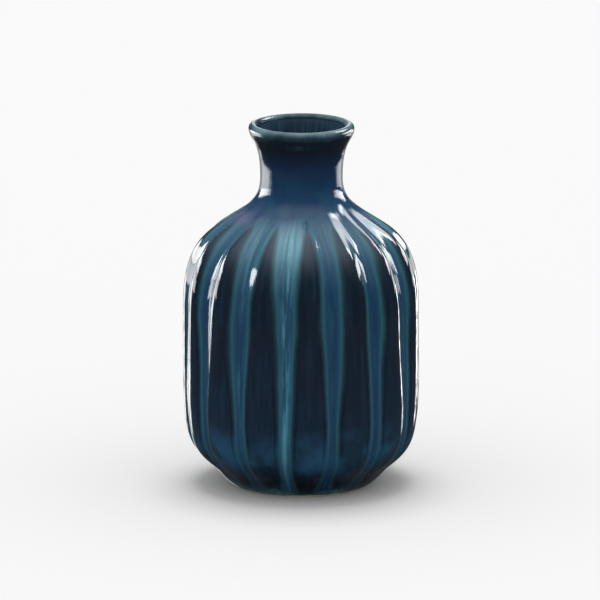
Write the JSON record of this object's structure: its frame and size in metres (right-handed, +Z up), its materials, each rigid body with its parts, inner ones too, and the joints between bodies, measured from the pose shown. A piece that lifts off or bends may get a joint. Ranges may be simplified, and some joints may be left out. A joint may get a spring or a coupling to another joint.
{
  "type": "bud vase",
  "caption": "Round-bodied ceramic bud vase with upright flutes, a narrow flared neck, a rolled lip and a low foot ring, glazed inside and out.",
  "frame": {"origin": "on the vase's axis, in the plane that the foot ring stands on", "axes": "+Z up along the axis towards the mouth, -Y towards the front view"},
  "size_m": [0.1199, 0.12, 0.185],
  "materials": {
    "stoneware": "bare fired stoneware, fine-grained and matt",
    "reactive_glaze": "gloss reactive glaze, near-black navy on the flute crests and teal blue in the valleys",
    "liner_glaze": "gloss glaze, deep blue"
  },
  "bodies": {
    "root": {"clay_body": "stoneware", "outer_glaze": "reactive_glaze", "inner_glaze": "liner_glaze"}
  },
  "joints": []
}
